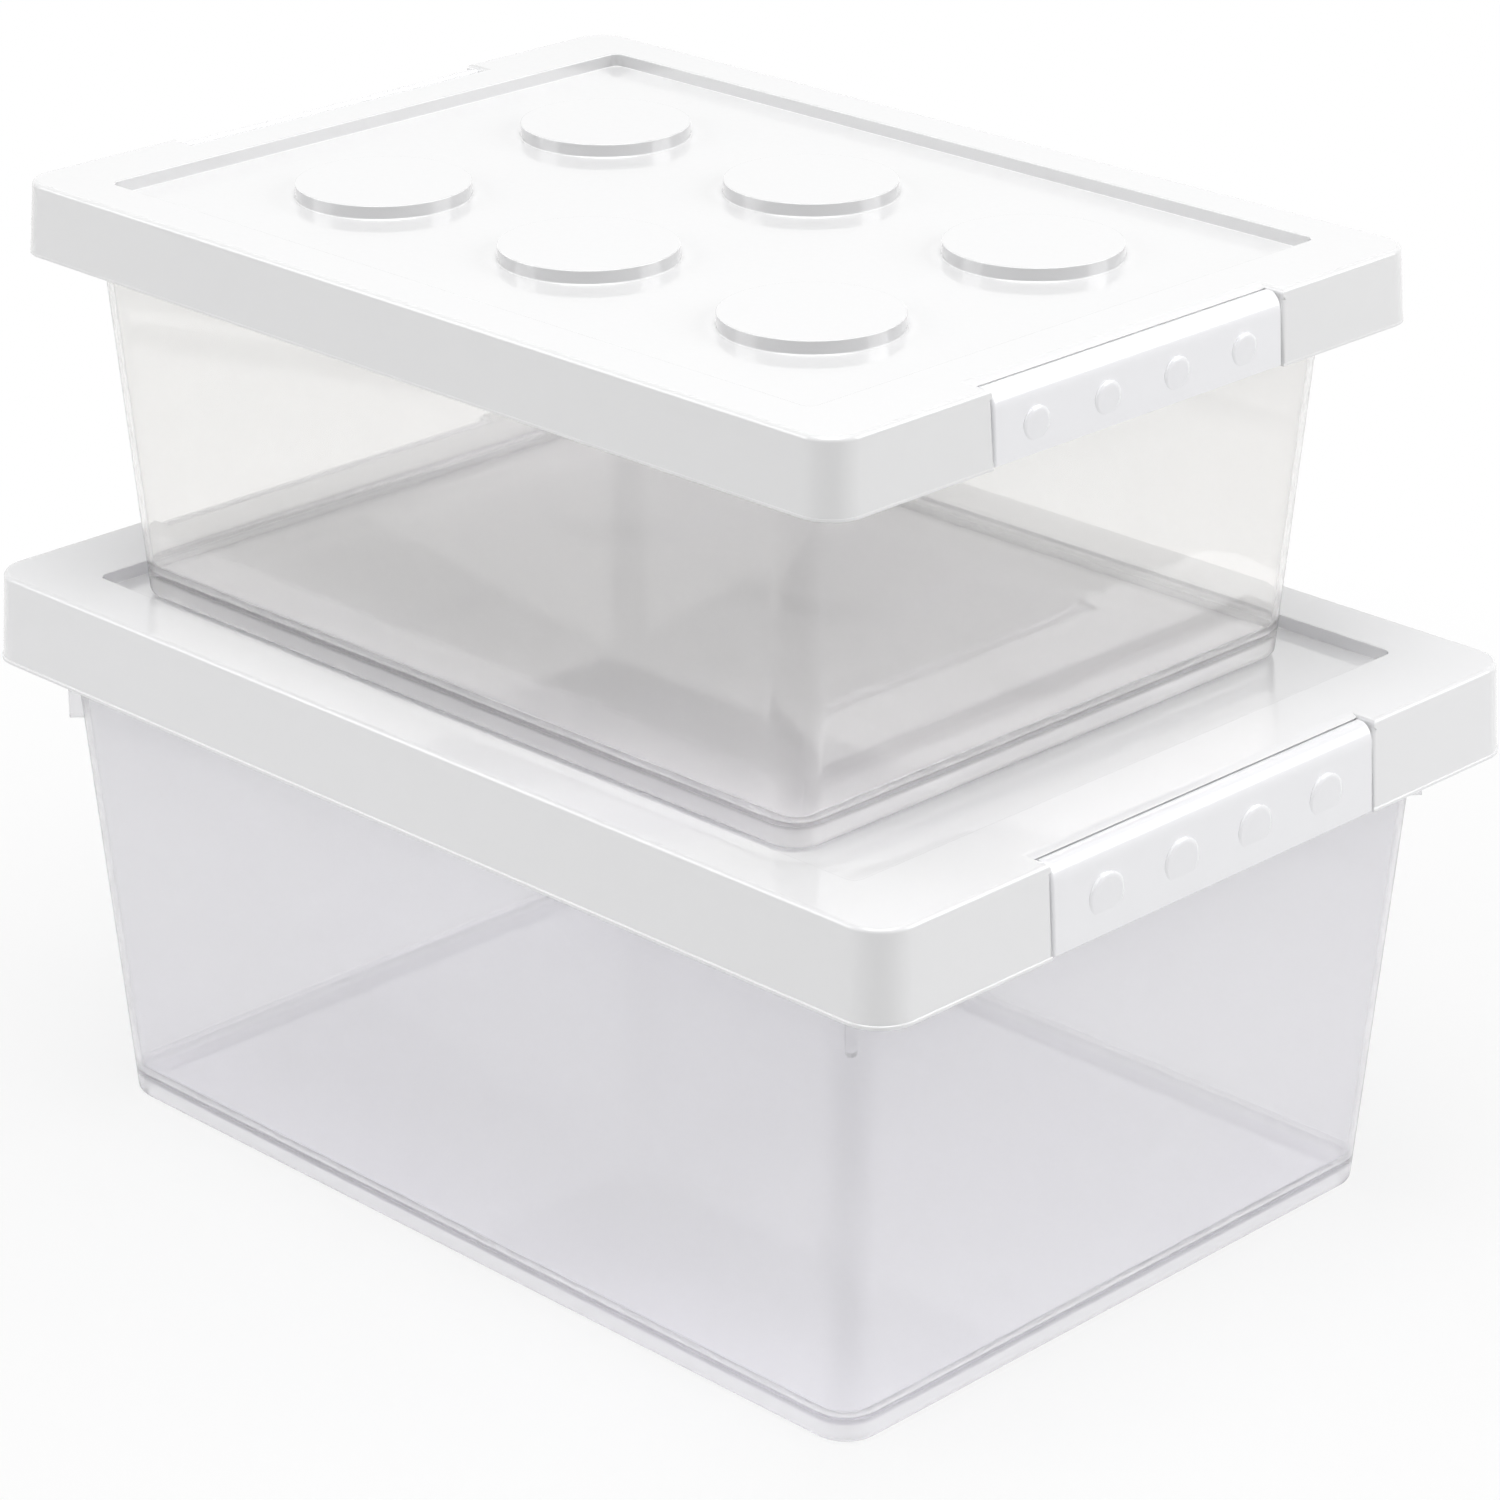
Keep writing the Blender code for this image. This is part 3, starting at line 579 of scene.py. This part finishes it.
def make_lid(size):
    """Model one lid from a slab: the skirt and border on its upper cap, the hollow on its lower one."""
    place = PLACES[size]
    lid = LIDS[size]
    top = place["top"]
    middle = place["middle"]
    skirt_bottom = top - lid["skirt"]
    panel = lid["panel"]

    def skirt_half(height, grow):
        return [half + SKIRT_FLARE * (top - height) + grow for half in lid["half"]]

    piece = rounded_block(size + "_lid_cover", middle, skirt_half(skirt_bottom, 0), skirt_bottom,
                          skirt_bottom + BEAD_HEIGHT, lid["corner"], CORNER_STEPS)
    pick("faces", lambda spot, normal: normal.z > FACING)
    round_cap(lid["bead"], NARROW_STEPS, 1, 1)
    carry(top - LID_ROUND, skirt_half(top - LID_ROUND, 0))
    round_cap(LID_ROUND, LID_STEPS, 1, 1)
    # Border, then over its inner edge and down to the panel
    draw_in(lid["corner"] - LID_ROUND - PANEL_CORNER - PANEL_ROUND, 0, 1)
    resize_cap([half + PANEL_ROUND for half in panel])
    round_cap(PANEL_ROUND, NARROW_STEPS, 1, -1, convex=False)
    carry(top - PANEL_DEPTH + PANEL_ROUND, [half - PANEL_LEAN for half in panel])
    round_cap(PANEL_ROUND, NARROW_STEPS, 1, -1)
    # Hollow underneath
    pick("faces", lambda spot, normal: normal.z < -FACING)
    draw_in(LID_WALL, 0, -1)
    carry(top - LID_WALL, skirt_half(top - LID_WALL, -LID_WALL))
    draw_in(lid["corner"] - LID_WALL - PANEL_CORNER - LID_WALL, 0, -1)
    resize_cap([half + LID_WALL for half in panel])
    carry(top - PANEL_DEPTH - LID_WALL, [half + LID_WALL - PANEL_LEAN for half in panel])
    finish_edit()

    # Studs, each with a round top edge and a small round root, and hollow from below
    panel_top = top - PANEL_DEPTH
    for column in (-1, 0, 1):
        for row in (-1, 1):
            centre = (middle[0] + column * lid["studs"][0], middle[1] + row * lid["studs"][1])
            stud = round_bar("stud", (*centre, (top + panel_top + STUD_ROOT) / 2), lid["stud"],
                             PANEL_DEPTH - STUD_ROOT, STUD_SIDES, "Z")
            edit(stud)
            pick("faces", lambda spot, normal: normal.z < -FACING)
            for step in range(1, NARROW_STEPS + 1):
                angle = step / NARROW_STEPS * math.pi / 2 * STUD_ROOT_TURN
                radius = lid["stud"] + STUD_ROOT * (1 - math.cos(angle))
                carry(panel_top + STUD_ROOT - STUD_ROOT * STUD_ROOT_SINK * math.sin(angle), (radius, radius))
            carry(panel_top - LID_WALL / 2)
            pick("edges", lambda a, b: min(a.z, b.z) > top - CLOSE)
            bpy.ops.mesh.bevel(offset=STUD_ROUND, segments=STUD_STEPS, affect="EDGES")
            finish_edit()
            combine(piece, stud, "UNION")
            hollow = round_bar("hollow", (*centre, top - LID_WALL - HOLLOW_DEPTH / 2),
                               lid["stud"] - LID_WALL, HOLLOW_DEPTH, STUD_SIDES, "Z")
            combine(piece, hollow, "DIFFERENCE")

    # Notch in each end: webs and an apron behind the latch, open below, its upper edge sloped to a nose
    wall_x = lid["axis_x"] - BARREL - SWING_GAP
    notch = lid["latch"] + SIDE_GAP
    web_bottom = skirt_bottom + WEB_RISE
    under = LID_WALL / 2
    for sign in (1, -1):
        def across(x):
            return middle[0] + sign * x

        def slab(name, x_low, x_high, y_low, y_high, z_low, z_high):
            return block(name, (min(across(x_low), across(x_high)), middle[1] + y_low, z_low),
                         (max(across(x_low), across(x_high)), middle[1] + y_high, z_high))

        web = slab("web", wall_x - LID_WALL, lid["half"][0] - under, -notch - WEB_WALL, notch + WEB_WALL,
                   web_bottom, top - under)
        edit(web)
        pick("verts", lambda co: abs(co.x - middle[0]) > wall_x and co.z < web_bottom + CLOSE)
        bpy.ops.transform.translate(value=(sign * SKIRT_FLARE * (top - web_bottom), 0, 0))
        finish_edit()
        combine(piece, web, "UNION")
        cut = slab("cut", wall_x, lid["half"][0] + OVERRUN, -notch, notch, skirt_bottom - OVERRUN,
                   top + OVERRUN)
        edit(cut)
        flare_drops = [NOTCH_SIDE_ROUND * (1 - math.sin(math.pi / 2 * step / NOTCH_SIDE_STEPS))
                       for step in range(NOTCH_SIDE_STEPS + 1)]
        drops = sorted([edge[0] for edge in NOTCH_EDGE[:-1]] + flare_drops)
        for drop in drops:
            bpy.ops.mesh.select_all(action="SELECT")
            bpy.ops.mesh.bisect(plane_co=(0, 0, top - drop), plane_no=(0, 0, 1))
        for drop in drops + [-OVERRUN]:
            pick("verts", lambda co: abs(co.x - across(wall_x)) < TINY and abs(co.z - top + drop) < TINY)
            bpy.ops.transform.translate(value=(sign * edge_reach(max(drop, 0)), 0, 0))
            pick("verts", lambda co: abs(co.z - top + drop) < TINY)
            wide = (notch + side_flare(max(drop, 0))) / notch
            bpy.ops.transform.resize(value=(1, wide, 1), center_override=(0, middle[1], 0))
        finish_edit()
        combine(piece, cut, "DIFFERENCE")
        cut = slab("cut", wall_x - LID_WALL - SWING_GAP, wall_x + OVERLAP, -notch, notch,
                   skirt_bottom - OVERRUN, top - APRON)
        combine(piece, cut, "DIFFERENCE")
        hole = round_bar("hole", (across(lid["axis_x"]), middle[1], top - AXIS_BELOW_TOP), PIN_HOLE,
                         2 * (notch + WEB_WALL + SIDE_GAP), PIN_SIDES)
        combine(piece, hole, "DIFFERENCE")
        edit(piece)
        pick("edges", lambda a, b: all(sign * (co.x - middle[0]) > lid["half"][0] - 2 * OVERLAP
                                       and abs(abs(co.y - middle[1]) - notch) < 2 * CLOSE for co in (a, b))
             and abs(a.z - b.z) > LONG)
        bpy.ops.mesh.bevel(offset=NOTCH_SIDE_ROUND * NOTCH_SIDE_SHARE, segments=NOTCH_SIDE_STEPS,
                           affect="EDGES", clamp_overlap=False)
        drop, reach = NOTCH_EDGE[NOTCH_NOSE]
        pick("edges", lambda a, b: all(abs(co.x - across(wall_x + reach)) < 2 * CLOSE
                                       and abs(co.z - top + drop) < 2 * CLOSE for co in (a, b)))
        bpy.ops.mesh.bevel(offset=NOTCH_NOSE_ROUND, segments=NARROW_STEPS, affect="EDGES",
                           clamp_overlap=False)
        finish_edit()
    smooth(piece)
    return piece


# Grey of the painted shade on the small lid's steep panel walls and stud sides
PAINTED_WALL_SHADE = "d6d6d7"
WALL_SHADE_REACH = 0.0003
# The two lids are one plastic; their whites differ a little as painted light, the large lid's lighter where
# the small box shades it
WHITES = {"large": ("f5f5f6", "f3f3f4", 0.16, 0.26), "small": ("f1f1f1", "efeff0", 0.16, 0.26)}
for size in ("large", "small"):
    cover = make_lid(size)
    cover.data.materials.clear()
    # Only the small lid gets painted shade on its steep panel walls and stud sides
    panel_walls = (PLACES[size]["middle"], [half + WALL_SHADE_REACH for half in LIDS[size]["panel"]],
                   PLACES[size]["top"] - PANEL_DEPTH) if size == "small" else None
    plastic = white_plastic(size + "_white_polypropylene", *WHITES[size], wall_shade=panel_walls)
    cover.data.materials.append(plastic)
    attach(cover, size + "_lid")
    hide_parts(size + "_lid")

# Latches
# The real piece is a white moulded plate hinged on its own pins in the lid's notch, with a round shoulder.
# Its hook ridge catches the tub's shelf, and four low round bumps give the finger a hold.
BUMP_PITCH = {"large": 0.034305, "small": 0.031195}
LATCH_WALL = 0.0022
LATCH_END_RISE = 0.0008
AXIS_INSET = 0.0046
SHOULDER_REACH = 0.0042
SHOULDER_DROP = 0.0059
HOOK_HEIGHT = 0.0025
SEAT_GAP = 0.0003
BUMP_SHARE = 0.3430
BUMP_ARC = 0.0027
BUMP_SLANT = math.radians(36)
LATCH_EDGE = 0.0010
LATCH_EDGE_STEPS = 5
LATCH_TOP_REACH = 0.0002
BARREL_SHARE = 0.999
BARREL_STEPS = 10
BARREL_END_SHARE = 0.2
BUMPS = 4
BUMP_STEPS = 6
BUMP_SIDES = 64
BUMP_DEPTH = 0.0020
BUMP_SINK = 0.00098


def make_latch(size, side):
    """Model the right-hand latch from a cube at the barrel, and turn it for the left-hand one."""
    place = PLACES[size]
    lid = LIDS[size]
    middle = place["middle"]
    axis = Vector((middle[0] + lid["axis_x"], middle[1], place["top"] - AXIS_BELOW_TOP))
    half = lid["latch"]
    bottom = place["top"] - lid["skirt"] + LATCH_END_RISE
    name = size + "_latch_plate_" + side

    def outer(height):
        return axis.x + AXIS_INSET + SKIRT_FLARE * (place["top"] - height)

    piece = block(name, (axis.x - BARREL, middle[1] - half, axis.z - BARREL),
                  (outer(axis.z - BARREL), middle[1] + half, axis.z + BARREL))
    edit(piece)
    pick("verts", lambda co: co.x > axis.x and co.z > axis.z)
    bpy.ops.transform.translate(value=(outer(axis.z + BARREL) - outer(axis.z - BARREL), 0, 0))
    # Barrel on the inside, and a round shoulder on the outside that is deeper than it is wide
    pick("edges", lambda a, b: abs(a.y - b.y) > LONG and a.x < axis.x)
    bpy.ops.mesh.bevel(offset=BARREL * BARREL_SHARE, segments=BARREL_STEPS, affect="EDGES",
                       clamp_overlap=False)
    squeeze = SHOULDER_REACH / SHOULDER_DROP
    bpy.ops.mesh.select_all(action="SELECT")
    bpy.ops.transform.resize(value=(1, 1, squeeze), center_override=axis)
    pick("edges", lambda a, b: abs(a.y - b.y) > LONG and a.x > axis.x and a.z > axis.z)
    bpy.ops.mesh.bevel(offset=SHOULDER_REACH, segments=BARREL_STEPS, affect="EDGES", clamp_overlap=False)
    bpy.ops.mesh.select_all(action="SELECT")
    bpy.ops.transform.resize(value=(1, 1, 1 / squeeze), center_override=axis)
    flat_top = axis.z + BARREL - SHOULDER_DROP
    # Plate below the shoulder
    inner_x = outer(axis.z - BARREL) - LATCH_WALL
    bpy.ops.mesh.select_all(action="SELECT")
    bpy.ops.mesh.bisect(plane_co=(inner_x, 0, 0), plane_no=(1, 0, 0))
    pick("faces", lambda spot, normal: normal.z < -FACING and spot.x > inner_x)
    hook_top = bottom + HOOK_HEIGHT
    tip = middle[0] + TUBS[size]["shelf_face"] + SEAT_GAP
    reach = outer(hook_top) - LATCH_WALL - tip
    for height in (hook_top + reach, hook_top, hook_top - reach, bottom):
        high = picked_box()[1]
        bpy.ops.mesh.extrude_region_move(
            TRANSFORM_OT_translate={"value": (outer(height) - high.x, 0, height - high.z)})
    # Hook ridge on the inside near the end
    pick("faces", lambda spot, normal: normal.x < -FACING and spot.x > axis.x
         and hook_top - reach < spot.z < hook_top)
    bpy.ops.mesh.extrude_region_move(TRANSFORM_OT_translate={"value": (-reach, 0, 0)})
    # Both ends of the face and shoulder are a little rounded
    def on_end(co):
        return (abs(abs(co.y - middle[1]) - half) < CLOSE and co.x > axis.x - BARREL * BARREL_END_SHARE
                and (co.x > outer(co.z) - 2 * CLOSE or co.z > flat_top - LATCH_TOP_REACH))

    pick("edges", lambda a, b: abs(a.y - b.y) < CLOSE and on_end(a) and on_end(b))
    bpy.ops.mesh.bevel(offset=LATCH_EDGE, segments=LATCH_EDGE_STEPS, affect="EDGES")
    finish_edit()

    # Pins at both ends
    pins = round_bar("pins", axis, PIN, 2 * (half + SIDE_GAP + WEB_WALL), PIN_SIDES)
    combine(piece, pins, "UNION")

    # Low round bumps along the plate
    height = (bottom + flat_top) / 2
    radius = (flat_top - bottom) * BUMP_SHARE
    face_x = outer(height)
    for index in range(BUMPS):
        across = middle[1] + BUMP_PITCH[size] * (index - (BUMPS - 1) / 2)
        bump = round_bar("bump", (face_x, across, height - BUMP_SINK), radius, BUMP_DEPTH, BUMP_SIDES, "Z")
        edit(bump)
        pick("faces", lambda spot, normal: normal.z > FACING)
        slants = [BUMP_SLANT * (1 - step / BUMP_STEPS) for step in range(1, BUMP_STEPS + 1)]
        draw_along([(BUMP_ARC * (math.sin(BUMP_SLANT) - math.sin(slant)),
                     BUMP_ARC * (math.cos(slant) - math.cos(BUMP_SLANT))) for slant in slants], 1)
        finish_edit()
        turn = (Matrix.Translation((face_x, across, height))
                @ Matrix.Rotation(math.pi / 2 + math.atan(SKIRT_FLARE), 4, "Y")
                @ Matrix.Translation((-face_x, -across, -height)))
        turn_to(bump, turn)
        combine(piece, bump, "UNION")
    if side == "left":
        half_turn = (Matrix.Translation((middle[0], middle[1], 0)) @ Matrix.Rotation(math.pi, 4, "Z")
                     @ Matrix.Translation((-middle[0], -middle[1], 0)))
        turn_to(piece, half_turn)
    smooth(piece)
    return piece


LATCH_WHITE = ("fafafc", "f8f8fb", 0.14, 0.24)
latch_white = white_plastic("latch_white_polypropylene", *LATCH_WHITE)
for size in ("large", "small"):
    for side in ("right", "left"):
        plate = make_latch(size, side)
        plate.data.materials.clear()
        plate.data.materials.append(latch_white)
        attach(plate, size + "_latch_" + side)
        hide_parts(size + "_latch_" + side)

# Floor, backdrop and light
# A plain white studio: a floor that keeps a soft shadow, and large soft lamps above and to both sides.


def seen_share(material):
    """Give one for what the camera sees, also by reflection or through plastic, and zero for other light."""
    path = add_node(material, "ShaderNodeLightPath")
    seen = add_node(material, "ShaderNodeMath", {"operation": "MAXIMUM"},
                    links={0: (path, "Is Camera Ray"), 1: (path, "Is Glossy Ray")})
    seen = add_node(material, "ShaderNodeMath", {"operation": "MAXIMUM"},
                    links={0: (seen, 0), 1: (path, "Is Transmission Ray")})
    return seen


bpy.ops.mesh.primitive_plane_add(size=14, location=(0, 0, 0))
floor = bpy.context.object
floor.name = "studio_floor"
floor_paint = new_material("studio_floor_white")
spot = add_node(floor_paint, "ShaderNodeTexCoord")
far = add_node(floor_paint, "ShaderNodeVectorMath", {"operation": "LENGTH"}, links={0: (spot, "Object")})
fade = add_node(floor_paint, "ShaderNodeMapRange",
                values={"From Min": 0.22, "From Max": 0.60, "To Min": 0.80, "To Max": 1.0},
                links={"Value": (far, "Value")})
matt = add_node(floor_paint, "ShaderNodeBsdfDiffuse", values={"Color": (0.85, 0.85, 0.85, 1.0)})
glow = add_node(floor_paint, "ShaderNodeEmission", values={"Strength": 1.0})
seen = seen_share(floor_paint)
amount = add_node(floor_paint, "ShaderNodeMath", {"operation": "MULTIPLY"},
                  links={0: (seen, 0), 1: (fade, "Result")})
mixed = add_node(floor_paint, "ShaderNodeMixShader",
                 links={0: (amount, 0), 1: (matt, 0), 2: (glow, 0)})
set_surface(floor_paint, mixed)
floor.data.materials.append(floor_paint)

world = bpy.data.worlds.new("studio")
bpy.context.scene.world = world
world.use_nodes = True
for node in list(world.node_tree.nodes):
    if node.type != "OUTPUT_WORLD":
        world.node_tree.nodes.remove(node)
AMBIENT = 0.22
seen = seen_share(world)
strength = add_node(world, "ShaderNodeMapRange", values={"To Min": AMBIENT, "To Max": 1.0},
                    links={"Value": (seen, 0)})
sky = add_node(world, "ShaderNodeBackground", values={"Color": (1.0, 1.0, 1.0, 1.0)},
               links={"Strength": (strength, "Result")})
world_output = [node for node in world.node_tree.nodes if node.type == "OUTPUT_WORLD"][0]
world.node_tree.links.new(sky.outputs[0], world_output.inputs["Surface"])


def soft_lamp(name, place, aim, size, power):
    """Add a large square lamp that looks at a point."""
    light = bpy.data.lights.new(name, "AREA")
    light.shape = "SQUARE"
    light.size = size
    light.energy = power
    lamp = bpy.data.objects.new(name, light)
    lamp.location = place
    lamp.rotation_euler = (Vector(aim) - Vector(place)).to_track_quat("-Z", "Y").to_euler()
    lamp.visible_camera = False
    bpy.context.scene.collection.objects.link(lamp)


soft_lamp("lamp_above", (0.4, -0.4, 2.6), (0, 0, 0.2), 2.0, 45.5)
soft_lamp("lamp_front_left", (-1.5, -1.8, 1.3), (0, 0, 0.2), 1.4, 15.5)
soft_lamp("lamp_right_rear", (1.8, 1.5, 1.3), (0, 0, 0.2), 1.4, 22.0)
